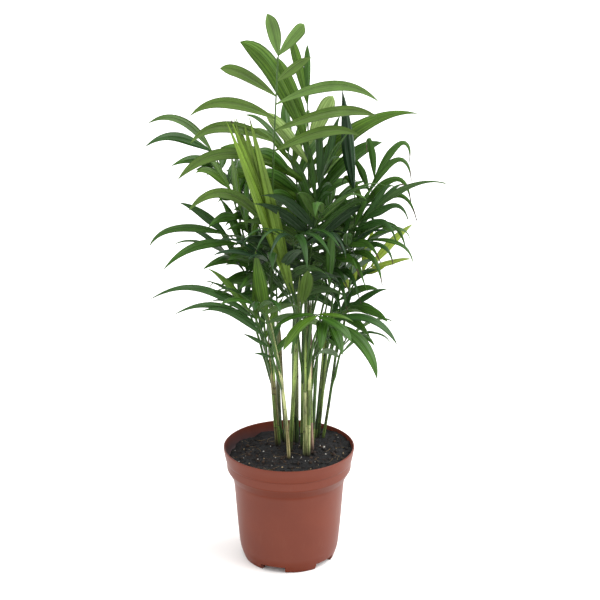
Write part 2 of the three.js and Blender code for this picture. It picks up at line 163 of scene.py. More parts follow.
def addRings(shape, rings, slotAt, uvAt, sharpColumns=()):
    # a closed skin over rings of equal length; slotAt and uvAt take the row and the column
    count = len(rings[0])
    base = len(shape["points"])
    for ring in rings:
        shape["points"].extend(ring)
    for row in range(len(rings) - 1):
        for k in range(count):
            a = base + row * count + k
            b = base + row * count + (k + 1) % count
            shape["faces"].append((a, b, b + count, a + count))
            shape["slots"].append(slotAt(row, k))
            shape["uvs"].extend((uvAt(row, k), uvAt(row, k + 1), uvAt(row + 1, k + 1), uvAt(row + 1, k)))
        for k in sharpColumns:
            a = base + row * count + k
            shape["sharp"].add((a, a + count))
    for row in (0, len(rings) - 1):
        cap = [base + row * count + k for k in range(count)]
        shape["faces"].append(cap if row else cap[::-1])
        shape["slots"].append(slotAt(max(row - 1, 0), 0))
        shape["uvs"].extend(uvAt(row, k) for k in (range(count) if row else reversed(range(count))))


def addTube(shape, line, radii, sides, slot, wobble=None):
    # a closed tube along a line of points; its first side direction is carried along without turning
    side = None
    rings, run = [], [0]
    for i, at in enumerate(line):
        ahead = (line[min(i + 1, len(line) - 1)] - line[max(i - 1, 0)]).normalized()
        if side is None:
            side = ahead.orthogonal()
        side = (side - ahead * side.dot(ahead)).normalized()
        other = ahead.cross(side)
        ring = []
        for k in range(sides):
            a = fullTurn * k / sides
            r = radii[i] * (wobble(i, a) if wobble else 1)
            ring.append(at + side * (r * cos(a)) + other * (r * sin(a)))
        rings.append(ring)
        if i:
            run.append(run[-1] + (at - line[i - 1]).length)
    addRings(shape, rings, slot if callable(slot) else lambda row, k: slot,
             lambda row, k: (k / sides, run[row] / uvSpan))


def makePiece(name, shape, materials, replaced=()):
    mesh = bpy.data.meshes.new(name)
    mesh.from_pydata([p * mm for p in shape["points"]], [], shape["faces"])
    mesh.polygons.foreach_set("material_index", shape["slots"])
    mesh.polygons.foreach_set("use_smooth", [True] * len(shape["faces"]))
    layer = mesh.uv_layers.new(name="UVMap")
    layer.data.foreach_set("uv", [c for uv in shape["uvs"] for c in uv])
    if shape["sharp"]:
        for edge in mesh.edges:
            edge.use_edge_sharp = edge.key in shape["sharp"]
    for material in materials:
        mesh.materials.append(material)
    return placePiece(name, mesh, replaced)


def placePiece(name, mesh, replaced=(), sharp=0):
    mesh.validate()
    bm = bmesh.new()
    bm.from_mesh(mesh)
    bmesh.ops.recalc_face_normals(bm, faces=bm.faces)
    for edge in bm.edges if sharp else ():
        edge.smooth = len(edge.link_faces) == 2 and edge.calc_face_angle(0) < radians(sharp)
    bm.to_mesh(mesh)
    bm.free()
    piece = putObject(name, mesh)
    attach(piece, "root")
    if replaced:
        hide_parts(*replaced)
    return piece


# Living palm leaf: a waxy skin over a fibrous blade. The wax gives a satin look with long soft highlights,
# and the parallel veins under it draw pale lines along the blade, with painted shade in the furrows between
# them.
leafFinish = {
    "ior": 1.42, "shine": 0.26, "rough": (0, 1, 0.30, 0.44),
    "veins": 6,  # the veins that show across a blade, about 1.5 mm apart
    "fibre": (16, 3, 1),  # streaks across a blade and per 100 mm along it
    "patchSize": 0.02,  # mottling of the green, 20 mm
    "lines": (-1, 1, -0.10, 0.16),  # pale streak along a vein
    "strands": (0.3, 0.7, 0.05, 0.65),  # pale streaks along the fibres
    "shade": (0.3, 0.7, 0.84, 1.14),  # light and dark of the mottling
    # painted shade: the furrows between the veins are painted darker
    "furrowShade": (-1, -0.2, 0.74, 1.04),  # darker between two veins
    "margin": (0.43, 0.49, 1, 0.5),  # darker along the edge
    "midrib": (0.012, 0.04, 0.6, 1),  # darker on the midrib
    "relief": {"Strength": 0.25, "Distance": 0.0004},
}
greens = {
    # blade from above, its pale streaks, and the duller underside
    "young": ("#54731f", "#7e9936", "#6b8336"),
    "fresh": ("#365816", "#597625", "#586e31"),
    "mid": ("#2a4c15", "#446822", "#4b642d"),
    "deep": ("#214016", "#355722", "#3f5a2a"),
    "blue": ("#1a331c", "#2a4529", "#384d32"),
    "soft": ("#486829", "#678641", "#5f7a3d"),
    # lit: a lighter yellow-green, painted light for leaves that light shines through from behind
    "lit": ("#677c1f", "#8b9e3b", "#7f9040"),
    "pale": ("#7c9750", "#98b26a", "#8ea762"),
}


def leafPaint(add, place, blade, streak):
    look = leafFinish
    across = add("SeparateXYZ", {"Vector": place["UV"]})
    turns = add("Math", {0: across, 1: fullTurn * look["veins"]}, operation="MULTIPLY")
    vein = add("Math", {0: turns}, operation="COSINE")
    drawn = add("Mapping", {"Vector": place["UV"], "Scale": look["fibre"]})
    fibre = add("TexNoise", {"Vector": drawn, "Scale": 1, "Detail": 3, "Roughness": 0.6})
    patch = add("TexNoise", {"Vector": place["Object"], "Scale": 1 / look["patchSize"], "Detail": 2})
    centred = add("Math", {0: across, 1: 0.5}, operation="SUBTRACT")
    outward = add("Math", {0: centred}, operation="ABSOLUTE")
    part = {}
    for kind, source in {"lines": vein, "strands": fibre, "shade": patch, "furrowShade": vein,
                         "margin": outward, "midrib": outward}.items():
        part[kind] = add("MapRange", {"Value": source, **dict(zip(limits, look[kind]))})
    share = add("Math", {0: part["lines"], 1: part["strands"]}, operation="ADD", use_clamp=True)
    tone = add("MixRGB", {"Fac": share, "Color1": linear(blade), "Color2": linear(streak)})
    shade = part["shade"]
    # the mottling, the painted shade of the furrows, the darker edge and the darker midrib all scale the
    # brightness
    for mark in ("furrowShade", "margin", "midrib"):
        shade = add("Math", {0: shade, 1: part[mark]}, operation="MULTIPLY")
    tone = add("HueSaturation", {"Color": tone, "Value": shade})
    relief = add("Math", {0: vein, 1: 0.5, 2: fibre}, operation="MULTIPLY_ADD")
    return tone, patch, relief


def leafMaterial(name, *colours):
    return makeMaterial(name, leafFinish, leafPaint, *colours)


leafMaterials = {}
for tone, (blade, streak, under) in greens.items():
    leafMaterials[tone] = leafMaterial("waxy_leaf_" + tone, blade, streak)
    leafMaterials[tone + "Under"] = leafMaterial("dull_underside_" + tone, under, blade)
dryTip = leafMaterial("dry_leaf_tip", "#2a2416", "#4d442a")  # tips that have dried to dark straw
ribMaterial = leafMaterial("smooth_leaf_stalk", "#284317", "#4b6a2b")  # firm green skin, a soft shine
print("leaf materials ready:", len(leafMaterials) + 2)

# the plan of the palm, in millimetres and degrees
soil = {"top": 100, "tiltX": 0.055, "tiltY": 0.035}
# foot on the soil, head with its height, radius at both ends, and how far the middle bows to the right
stemPlan = ("foot", "head", "radius", "bow")
stems = {
    "tall": ((-10, 19), (-17, 13, 205), (2.8, 2.0)),
    "russet": ((-8, 37), (-10, 40, 205), (2.2, 1.7)),
    "cream": ((0, -11), (-17, -21, 236), (1.6, 1.2), 4),
    "spear": ((1, 5), (9, -18, 262), (2.1, 1.5)),
    "grey": ((6, 24), (6, 27, 220), (3.2, 2.2)),
    "slim": ((12, 11), (13, 13, 215), (1.5, 1.3)),
    "pale": ((16, -4), (17, -8, 212), (3.4, 2.5)),
    "husk": ((21, 7), (20, 9, 205), (2.2, 1.7)),
    "moss": ((22, 19), (27, 21, 206), (1.7, 1.4)),
    "green": ((26, 31), (35, 30, 212), (2.7, 2.2)),
    "dark": ((25, 42), (42, 43, 205), (1.5, 1.2)),
    "outer": ((32, 31), (45, 27, 205), (1.5, 1.2)),
    "left": ((-5, 27), (-27, 22, 226), (1.4, 1.1), -1),
    "fawn": ((-2, 20), (-8, 26, 204), (1.7, 1.4)),
    "rear": ((13, 38), (19, 44, 230), (2.6, 1.9)),
}
stems = {name: dict(zip(stemPlan, row)) for name, row in stems.items()}
# A frond leaves its stem at the height start and leans out to the direction az; its rib ends reach away at
# the height top. hug is how close it keeps to the stem, rise how high it bends over, roll turns it about its
# rib. Leaflets stand in pairs from the share bare of the rib on, open degrees away from it, vee degrees down.
# lengths, opens, droops and widths give them one by one, side -1 first, and a length of 0 leaves one out.
# tints are their greens, most common first. single holds those that stand out, by pair and side. Any value of
# leafletLook may be given as well.
frondPlan = ("stem", "start", "az", "reach", "top", "hug", "rise", "bare", "pairs", "wide", "droop")
usual = dict(leaf=75, open=(60, 20), vee=22, roll=0, last=0.8, lastWide=1, stagger=0.012, peak=0.42,
             tints="mid deep mid", single={})


def frond(*values, **more):
    # one frond: the values of frondPlan in their order, then what differs from the usual
    return {**usual, **dict(zip(frondPlan, values)), **more}


fronds = {
    # the two tall ones in the middle and the folded young leaves
    "tall": frond("tall", 196, 286, 26, 472, 0.4, 0.55, 0.4, 9, 10.5, 1.3, vee=6, stagger=-0.015, peak=0.5,
      lastWide=1.1, blunt=2.2, curl=0.6, fold=0.48, pleat=0.06,
      lengths=((96, 0, 0, 92, 84, 80, 56, 0, 38), (40, 0, 0, 0, 80, 98, 98, 36, 34)),
      opens=((34, 0, 0, 64, 58, 60, 50, 0, 14), (84, 0, 0, 0, 64, 72, 64, 50, 36)),
      droops=((1.7, 0, 0, 1.7, 1.2, 1.2, 0.6, 0, 0.4), (0.7, 0, 0, 0, 0.8, 0.7, 1.3, 0.4, 0.4)),
      tints="fresh fresh fresh mid", single={(6, -1): {"peak": 0.68, "blunt": 4, "curl": 0.1, "dryShare": 0},
      (8, -1): {"peak": 0.6, "blunt": 3.5, "curl": 0, "tone": "soft"},
      (8, 1): {"peak": 0.7, "blunt": 4, "curl": 0, "tone": "soft"}, (6, 1): {"blunt": 1.6, "tone": "soft"},
      (5, 1): {"blunt": 2.6}, (4, 1): {"tone": "fresh"}, (3, -1): {"tone": "fresh"}, (5, -1): {"blunt": 1.6},
      (0, -1): {"tone": "fresh", "blunt": 2.4, "curl": 0}}),
    "twin": frond("rear", 222, 98, 6, 414, 0.5, 0.5, 0.42, 7, 9, 0.5, vee=4, stagger=0.008, peak=0.62,
      blunt=3.0, curl=0.3, fold=0.42, pleat=0.06, dryShare=0,
      lengths=((66, 92, 76, 114, 50, 0, 54), (72, 84, 90, 62, 114, 66, 64)),
      opens=((60, 34, 36, 47, 25, 0, 1), (64, 56, 52, 34, 20, 22, 11)),
      widths=((11, 12, 12, 14, 14, 0, 6), (11, 12, 12, 12, 17, 9, 8.5)), tints="fresh fresh mid",
      single={(3, -1): {"peak": 0.45, "blunt": 1.2, "tone": "fresh", "curl": 0},
      (4, -1): {"tone": "pale", "blunt": 5}, (3, 1): {"tone": "pale"},
      (4, 1): {"tone": "fresh", "blunt": 4, "curl": 0}, (2, -1): {"tone": "fresh"}, (1, -1): {"tone": "mid"},
      (2, 1): {"tone": "fresh"}, (5, 1): {"tone": "fresh"}}),
    "folded": frond("spear", 256, 185, 17, 300, 0.45, 0.5, 0.1, 4, 8, 0.05, vee=0, roll=90, stagger=0.03,
      fold=0.5, curl=0.1, pleat=0.16, root=0.42, swerve=0.03, blunt=1.5, slim=1.25,
      lengths=((170, 156, 140, 124), (164, 148, 134, 120)), opens=((0, -3, -6, -9), (7, 9, 6, 11)),
      tints="young"),
    "blade": frond("cream", 220, 215, 4, 238, 0.4, 0.5, 0.9, 1, 12, 0.03, roll=55, vee=0, fold=0.3, curl=0.1,
      lengths=((0,), (68,)), opens=((0,), (-1,)), tints="fresh"),
    "quill": frond("outer", 200, 18, 12, 340, 0.9, 0.5, 0.95, 1, 11, 0.03, roll=90, vee=0, fold=0.7, curl=0,
      pleat=0.2, blunt=1.5, slim=1.1, lengths=((0,), (94,)), opens=((0,), (5,)), tints="blue"),
    # left side
    "left_high": frond("left", 218, 184, 38, 380, 0.07, 0.66, 0.6, 5, 10, 1.3, roll=-32, vee=6, blunt=1.5,
      curl=1.2, lengths=((46, 44, 38, 28, 72), (52, 44, 40, 60, 78)),
      opens=((60, 58, 60, 60, -10), (62, 50, 36, 48, 36)),
      droops=((0.6, 0.6, 0.5, 0.4, 1.35), (0.7, 0.6, 0.5, 0.7, 0.9)), tints="mid fresh mid",
      single={(4, 1): {"tone": "deep"}}),
    "left_mid": frond("fawn", 190, 182, 45, 303, 0.15, 0.83, 0.45, 5, 8.5, 1.0, roll=-52, vee=8, blunt=1.6,
      lengths=((40, 44, 46, 48, 52), (46, 52, 54, 84, 80)),
      opens=((62, 50, 34, 26, 18), (70, 62, 52, 38, 10))),
    "left_low": frond("cream", 180, 196, 26, 247, 0.3, 0.75, 0.3, 6, 7, 0.8, roll=-64, vee=6, blunt=1.5,
      lengths=((30, 36, 42, 40, 42, 56), (24, 34, 80, 96, 115, 84)),
      opens=((58, 52, 46, 40, 30, 10), (46, 36, 24, 26, 18, 0)),
      widths=((6, 6.5, 7, 7, 7, 7), (3.5, 4, 6.5, 7, 7, 7)), tints="mid deep fresh"),
    "left_back": frond("russet", 188, 172, 42, 276, 0.25, 0.75, 0.5, 5, 8.5, 1.3, leaf=64, open=(60, 18),
      last=0.9),
    "left_inner": frond("tall", 188, 196, 32, 350, 0.1, 0.72, 0.45, 6, 11, 1.2, roll=-35, vee=8,
      lengths=((54, 58, 58, 54, 48, 40), (56, 60, 0, 0, 0, 48)),
      opens=((58, 52, 45, 38, 28, 10), (60, 52, 44, 40, 36, 20)), tints="fresh mid"),
    # right side
    "right_high": frond("green", 204, 355, 38, 354, 0.3, 0.64, 0.62, 5, 7.5, 1.7, roll=58, vee=4, blunt=1.0,
      curl=0.5, hang=3.6, rare=0.35, tail=0.13, dryShare=0.7, dryFrom=0.9,
      lengths=((74, 84, 74, 70, 64), (40, 44, 46, 46, 54)), opens=((36, 22, 14, 6, 2), (58, 54, 52, 48, 36)),
      tints="mid mid fresh"),
    "right_arm": frond("slim", 200, 342, 62, 334, 0.2, 0.72, 0.52, 6, 9.5, 0.8, roll=36, vee=6, blunt=1.0,
      curl=0.5, hang=2.6, rare=0.35, tail=0.13, dryShare=0.6, dryFrom=0.9,
      lengths=((46, 56, 64, 68, 58, 70), (40, 46, 50, 50, 46, 36)),
      opens=((62, 54, 46, 32, 14, -6), (60, 54, 46, 38, 28, 26)), tints="deep mid",
      single={(5, -1): {"hang": 0.5, "tail": 0.2}, (5, 1): {"hang": 0.5, "tail": 0.2}}),
    "right_mid": frond("husk", 196, 350, 46, 304, 0.2, 0.85, 0.5, 7, 6.8, 2.6, leaf=62, open=(62, 20),
      last=0.95, roll=26, vee=12, blunt=1.0, curl=0.7, hang=3.6, rare=0.35, tail=0.13, dryShare=0.6,
      dryFrom=0.9),
    "right_low": frond("husk", 182, 346, 32, 243, 0.25, 0.75, 0.45, 4, 8.5, 1.2, roll=36, vee=4,
      lengths=((36, 44, 50, 48), (24, 28, 26, 38)), opens=((66, 60, 54, 36), (50, 42, 30, 12)),
      tints="mid deep"),
    "right_skirt": frond("outer", 166, 318, 20, 212, 0.3, 0.9, 0.4, 4, 6.5, 1.7, leaf=54, open=(52, 18),
      vee=2, tints="deep mid"),
    # its leaflets take the lit green, painted light shining through them
    "right_lit": frond("dark", 196, 20, 34, 262, 0.2, 0.86, 0.6, 4, 8, 0.4, roll=40, curl=0.6,
      lengths=((0, 0, 26, 40), (26, 30, 42, 60)), opens=((54, 45, 32, 18), (54, 45, 34, 22)), tints="lit"),
    # front
    "front_right": frond("pale", 198, 308, 27, 238, 0.2, 1.0, 0.55, 4, 12, 2.4, blunt=2.2, curl=0.6,
      lengths=((0, 72, 60, 46), (32, 44, 78, 74)), opens=((60, 46, 36, 26), (58, 50, 30, 12))),
    "front_low": frond("pale", 206, 280, 40, 252, 0.3, 0.95, 0.8, 3, 12, 2.4, vee=8, blunt=2.6,
      lengths=((0, 46, 54), (0, 34, 44)), opens=((60, 70, 48), (60, 80, 40)), tints="mid fresh",
      single={(2, -1): {"tone": "fresh", "blunt": 3}}),
    "front_left": frond("cream", 204, 240, 34, 262, 0.2, 0.8, 0.5, 4, 9, 1.7, leaf=52, open=(60, 24),
      tints="mid deep"),
    "front_small": frond("spear", 234, 300, 5, 252, 0.3, 0.3, 0.9, 1, 12, 0.02, roll=-30, vee=0, peak=0.6,
      blunt=3.2, curl=0, fold=0.3, lengths=((0,), (35,)), opens=((0,), (2,)), tints="fresh"),
    "sprout": frond("pale", 206, 334, 16, 268, 0.8, 0.4, 0.9, 1, 8.5, 0.02, roll=-64, vee=0, peak=0.5,
      blunt=2.5, curl=0, lengths=((0,), (52,)), opens=((0,), (-3,)), tints="mid"),
    # middle
    "mid_front": frond("grey", 208, 268, 60, 318, 0.15, 0.8, 0.5, 7, 10, 1.7, leaf=74, open=(48, 16),
      last=0.95, slim=0.7, tints="deep blue deep", single={(3, -1): {"slim": 0.45}, (4, -1): {"slim": 0.4},
      (5, -1): {"slim": 0.4}, (6, -1): {"slim": 0.4}}),
    "mid_right": frond("slim", 204, 290, 43, 338, 0.15, 0.8, 0.5, 7, 10.5, 1.1, leaf=74,
      tints="deep mid blue"),
    "mid_left": frond("slim", 190, 228, 44, 292, 0.2, 0.8, 0.5, 6, 9.5, 1.2, leaf=70, tints="deep blue"),
    "mid_high": frond("grey", 212, 20, 22, 352, 0.3, 0.75, 0.5, 7, 11, 0.8, leaf=76, open=(52, 16),
      tints="mid deep"),
    "right_inner": frond("green", 196, 296, 36, 300, 0.2, 0.8, 0.5, 6, 9, 1.2, leaf=66, tints="deep blue"),
    # back
    "back_high": frond("rear", 208, 130, 24, 368, 0.15, 0.8, 0.5, 7, 10, 1.2, leaf=70, tints="mid fresh mid"),
    "back_left": frond("russet", 196, 146, 29, 326, 0.2, 0.8, 0.5, 7, 9.5, 1.3, leaf=66),
    "back_mid": frond("russet", 180, 96, 22, 268, 0.25, 0.85, 0.5, 6, 9, 1.6, leaf=58, tints="deep mid"),
    "back_right": frond("rear", 204, 50, 28, 316, 0.2, 0.8, 0.5, 7, 9, 1.5, leaf=58),
    "back_low": frond("dark", 186, 66, 26, 252, 0.25, 0.8, 0.5, 5, 8, 1.3, leaf=48, open=(62, 22)),
    "rear_low": frond("left", 186, 134, 38, 238, 0.3, 0.85, 0.55, 5, 5.5, 1.3, leaf=44, blunt=1.2, curl=2.5),
}
leafletLook = {
    "steps": 22, "cells": 10,  # rows along and cells across a blade
    "thick": 0.4, "taper": (1.6, 0.4),  # thickness, and its shares at the root and the tip
    "fold": 0.26,  # how far the edges hang, as a share of the half width
    "pleat": 0.09, "pleats": 3,  # height of the pleats, and how many half waves on each side
    "wave": 0.04, "waves": 9,  # height of the slow wave along the edges, and its pace
    "sag": (0.35, 0.65),  # shares of the droop that grow evenly and with the square
    "curl": 0.9, "hang": 0.2,  # most that a tip curls under, in radians, and that its own weight adds
    "rare": 2,  # how rare a strong curl is
    "hookAt": 0.55, "hookPower": 1.7,  # where along the blade the curl starts, and how late it grows
    "swerve": 0.10,  # most that a blade bends sideways
    "blunt": 2.0, "root": 0.1,  # fullness of the tip, and width at the root
    "tail": 0.012, "slim": 1,  # least width of the tip, and width against the one its frond gives
    "dryShare": 0.24, "dryFrom": 0.965,  # how many tips have dried, and from where
}
leafletRule = {
    "openPower": 1.3,  # how late along the rib the leaflets close up
    "middle": (0.2, 0.8), "short": 0.7, "narrow": 0.82,  # they are longest and widest in the middle
    "droopLength": 80, "lastPlace": 0.995,
}
leafletSpread = {
    # how far leaflets differ from the rule: place on the rib, degrees, and shares of length and droop
    "place": 0.008, "open": 4, "vee": 6, "length": 0.07, "droop": 0.2, "twist": 14,
}
stalk = {
    "gap": 2.05, "lean": 0.35,  # the rib stands clear of the stem and follows its lean by this share
    "fine": 100, "steps": 24, "sides": 8, "radius": (1.25, 0.6),
    # how it comes out of the sheath: depth under the frond's start, share of the stem's radius, own radius
    "root": ((26, 0.1, 0.6), (19, 0.5, 0.9), (12, 0.85, 1.2), (6, 1.25, 1.35)),
}


def soilAt(x, y):
    return soil["top"] + soil["tiltX"] * x + soil["tiltY"] * y


def sway(f, k):  # a repeatable number between -1 and 1 for leaflet k of frond f
    v = sin(f * 12.9898 + k * 78.233 + 1.7) * 43758.5453
    return 2 * (v - floor(v)) - 1


def stemShare(stem, z):
    low = soilAt(*stem["foot"])
    return (z - low) / (stem["head"][2] - low)


def stemPoint(stem, z):
    t = stemShare(stem, z)
    x, y = (mix(foot, head, t) for foot, head in zip(stem["foot"], stem["head"]))
    return Vector((x + 4 * t * (1 - t) * stem.get("bow", 0), y, z))


def stemRadius(stem, z):
    return mix(*stem["radius"], stemShare(stem, z))


class Rib:
    # the leaf stalk and midrib of a frond: a curve with even steps along its length
    def __init__(self, f):
        stem = stems[f["stem"]]
        out = direction(f["az"])
        self.side = Vector((-out.y, out.x, 0))
        self.root = stemPoint(stem, f["start"]) + out * (stemRadius(stem, f["start"]) + stalk["gap"])
        self.end = self.root + out * f["reach"]
        self.end.z = f["top"]
        high = mix(f["start"], f["top"], f["rise"])
        lean = stemPoint(stem, high) - stemPoint(stem, f["start"])
        self.bend = self.root + out * (f["reach"] * f["hug"]) + Vector((lean.x, lean.y, 0)) * stalk["lean"]
        self.bend.z = high
        self.lengths = [0]
        fine = [self.curve(i / stalk["fine"]) for i in range(stalk["fine"] + 1)]
        for a, b in zip(fine, fine[1:]):
            self.lengths.append(self.lengths[-1] + (b - a).length)

    def curve(self, t):
        return self.root * (1 - t) ** 2 + self.bend * (2 * t * (1 - t)) + self.end * t ** 2

    def even(self, share):
        wanted = share * self.lengths[-1]
        i = max(k for k in range(stalk["fine"]) if self.lengths[k] <= wanted)
        return (i + (wanted - self.lengths[i]) / (self.lengths[i + 1] - self.lengths[i])) / stalk["fine"]

    def at(self, share):
        return self.curve(self.even(share))

    def along(self, share):
        t = self.even(share)
        return ((self.bend - self.root) * (1 - t) + (self.end - self.bend) * t).normalized()


def leafletOf(f, rib, order, i, hand):
    # place, heading and size of one leaflet
    rule = leafletRule
    row = 1 if hand > 0 else 0

    def given(rows, ruled):
        return f[rows][row][i] if rows in f else ruled

    def differ(kind):  # each kind of difference has its own block of 40 numbers
        block = list(leafletSpread).index(kind)
        return leafletSpread[kind] * sway(order, 2 * i + row + 40 * block)

    u = i / (f["pairs"] - 1) if f["pairs"] > 1 else 1
    end = i == f["pairs"] - 1
    t = mix(f["bare"], 1, u)
    if not end:
        t += f["stagger"] * hand + differ("place")
    t = min(t, rule["lastPlace"])
    along = rib.along(t)
    roll = Quaternion(along, radians(f["roll"]))
    across = roll @ rib.side
    face = roll @ rib.side.cross(along).normalized()
    opened = radians(given("opens", mix(*f["open"], u ** rule["openPower"]) + differ("open")))
    vee = radians(f["vee"] + differ("vee"))
    heading = (along * cos(opened) + across * (hand * cos(vee) * sin(opened))
               - face * (sin(vee) * sin(opened)))
    middle = sin(pi * mix(*rule["middle"], u))
    share = f["last"] if end else mix(rule["short"], 1, middle) * (1 + differ("length"))
    length = given("lengths", f["leaf"] * share)
    width = given("widths", f["wide"] * (f["lastWide"] if end else mix(rule["narrow"], 1, middle)))
    droop = given("droops", f["droop"] * (length / rule["droopLength"]) * (1 + differ("droop")))
    return {"at": rib.at(t), "along": along, "heading": heading, "length": length, "width": width,
            "hand": hand, "droop": droop, "twist": radians(differ("twist"))}


def outline(s, peak, blunt, root):
    rise = mix(root, 1, sin(min(s / peak, 1) * pi / 2))
    fall = 1 - ((s - peak) / (1 - peak)) ** blunt if s > peak else 1
    return rise * fall


def addLeaflet(shape, leaf, look, slots, chance):
    top, under, tip = slots
    steps, cells = look["steps"], look["cells"]
    bent = chance.random() ** look["rare"]
    curl, hang = look["curl"] * bent, look["hang"] * bent
    swerve = look["swerve"] * chance.uniform(-1, 1)
    phase = chance.uniform(0, fullTurn)
    dry = chance.random() < look["dryShare"]
    evenSag, lateSag = look["sag"]
    at = leaf["at"].copy()
    wide = leaf["along"]
    rings, run = [], []
    for i in range(steps + 1):
        s = i / steps
        hook = max(0, (s - look["hookAt"]) / (1 - look["hookAt"])) ** look["hookPower"]
        fall = leaf["droop"] * (evenSag * s + lateSag * s * s) + hang * hook
        d = (leaf["heading"] - up * fall).normalized()
        wide = (wide - d * wide.dot(d)).normalized()
        w = Quaternion(d, leaf["twist"] * s) @ wide
        d = Quaternion(w, -leaf["hand"] * curl * hook) @ d
        d = (d + w * (swerve * s * s)).normalized()
        n = w.cross(d) * leaf["hand"]
        full = max(outline(s, look["peak"], look["blunt"], look["root"]), look["tail"])
        half = 0.5 * leaf["width"] * look["slim"] * full
        thick = look["thick"] * mix(*look["taper"], s)
        upper, lower = [], []
        for k in range(cells + 1):
            u = 2 * k / cells - 1
            pleat = look["pleat"] * cos(look["pleats"] * pi * u) * min(1, 4 * s) * (1 - s * s)
            wave = look["wave"] * sin(look["waves"] * s + phase) * u * abs(u)
            lift = half * (-look["fold"] * abs(u) + pleat + wave)
            rim = thick * (1 - u * u)
            upper.append(at + w * (half * u) + n * (lift + rim / 2))
            lower.append(at + w * (half * u) + n * (lift - rim / 2))
        rings.append(upper + lower[-2:0:-1])
        run.append(s * leaf["length"] / uvSpan)
        at = at + d * (leaf["length"] / steps)
    dryRow = look["dryFrom"] * steps if dry else steps + 1
    addRings(shape, rings, lambda row, k: tip if row + 1 > dryRow else (top if k < cells else under),
             lambda row, k: ((k if k <= cells else 2 * cells - k) / cells, run[row]), (0, cells))


def buildFrond(order, name, f):
    chance = random.Random(100 + order)
    rib = Rib(f)
    stem = stems[f["stem"]]
    shape = newShape()
    materials = []

    def slotOf(material):
        if material not in materials:
            materials.append(material)
        return materials.index(material)

    out = direction(f["az"])
    clear = stemRadius(stem, f["start"])
    line = [stemPoint(stem, f["start"] - drop) + out * (clear * share) for drop, share, _ in stalk["root"]]
    radii = [radius for _, _, radius in stalk["root"]]
    for i in range(stalk["steps"] + 1):
        line.append(rib.at(i / stalk["steps"]))
        radii.append(mix(*stalk["radius"], i / stalk["steps"]))
    addTube(shape, line, radii, stalk["sides"], slotOf(ribMaterial))
    for i in range(f["pairs"]):
        for hand in (-1, 1):
            leaf = leafletOf(f, rib, order, i, hand)
            single = f["single"].get((i, hand), {})
            tone = single.get("tone", chance.choice(f["tints"].split()))
            if leaf["length"]:
                slots = [slotOf(m) for m in (leafMaterials[tone], leafMaterials[tone + "Under"], dryTip)]
                addLeaflet(shape, leaf, {**leafletLook, **f, **single}, slots, chance)
    return makePiece("palm_frond_" + name, shape, materials, ["frond_" + name])


def buildFronds():
    count = 0
    for order, (name, plan) in enumerate(fronds.items()):
        count += len(buildFrond(order, name, plan).data.polygons)
    print("fronds built:", len(fronds), "with", count, "faces")


buildFronds()


# Green palm stem wrapped in old leaf bases: satin and finely ribbed, with long pale and dark fibres, a few
# corky rings low down and brown specks where a sheath has dried.
stemLook = {
    "step": 1.5, "sides": 18, "sink": 4, "bow": 0.8,
    "loose": 14, "spread": 0.35,  # strands end up to this much lower and lean apart by this share
    "firstNode": (14, 40), "nodeGap": (34, 62), "nodesTo": 75,  # heights of the node rings over the foot
    "swell": 0.05, "swellWide": 1.2, "ring": 0.35, "scar": 0.3, "scarSide": -0.2,
    "ridges": 7, "ridgeHigh": 0.035, "windPerMm": 0.004,
    "seamHigh": 0.07, "seamWide": 0.05,  # the lap of the sheath
    "tipSteps": 8, "tipStep": 2.2, "tipRound": 0.8, "tipRadius": 0.12,
    # finish
    "ior": 1.44, "shine": 0.4, "rough": (0, 1, 0.40, 0.6),
    "fibre": (15, 1.6, 1),  # fibres round the stem and per 100 mm along it
    "patches": 190, "specks": 520,  # per metre: mottling of 5 mm and specks of 2 mm
    "draw": (1, 1, 0.22),  # the mottling is drawn out upwards
    "streaks": (0.43, 0.6, 0, 1), "shade": (0.35, 0.65, 0.45, 1.45), "brown": (0.61, 0.67, 0, 0.8),
    "level": (0.1, 0.113, 0.5, -0.8),  # heights over which the splashes of compost thin out
    "speckColour": "#312011", "splashColour": "#1b1614",
    "relief": {"Strength": 0.5, "Distance": 0.0004},
}
stemTones = {
    # dark ground between the fibres, the pale fibres
    "green": ("#2b4016", "#80954a"), "pale": ("#536430", "#bfc28a"), "dark": ("#1b2f12", "#456229"),
    "grey": ("#2b351b", "#737d50"), "russet": ("#38381c", "#817e4e"), "cream": ("#6f683a", "#cdc28e"),
    "husk": ("#5b4436", "#a98f7c"),
}
stemDress = {
    # tones of the sheaths from the foot up, repeated
    "tall": "russet green", "russet": "dark grey", "cream": "cream pale",
    "spear": "grey green", "grey": "grey dark grey", "slim": "dark green",
    "pale": "pale pale green", "husk": "husk green", "moss": "green dark",
    "green": "green dark", "dark": "dark", "outer": "green dark", "left": "dark dark",
    "fawn": "grey russet", "rear": "grey green",
}
# some stems are several stalks pressed together: each one's place across and its share of the thickness
stemStrands = {
    "grey": ((-0.50, -0.15, 0.52), (0.48, -0.30, 0.50), (0.05, 0.42, 0.56)),
    "pale": ((-0.46, 0.05, 0.58), (0.47, -0.10, 0.54)), "tall": ((-0.36, 0.1, 0.66), (0.46, -0.2, 0.50)),
    "green": ((-0.42, 0, 0.60), (0.44, 0.1, 0.56)), "rear": ((-0.4, 0, 0.6), (0.42, -0.1, 0.55)),
}


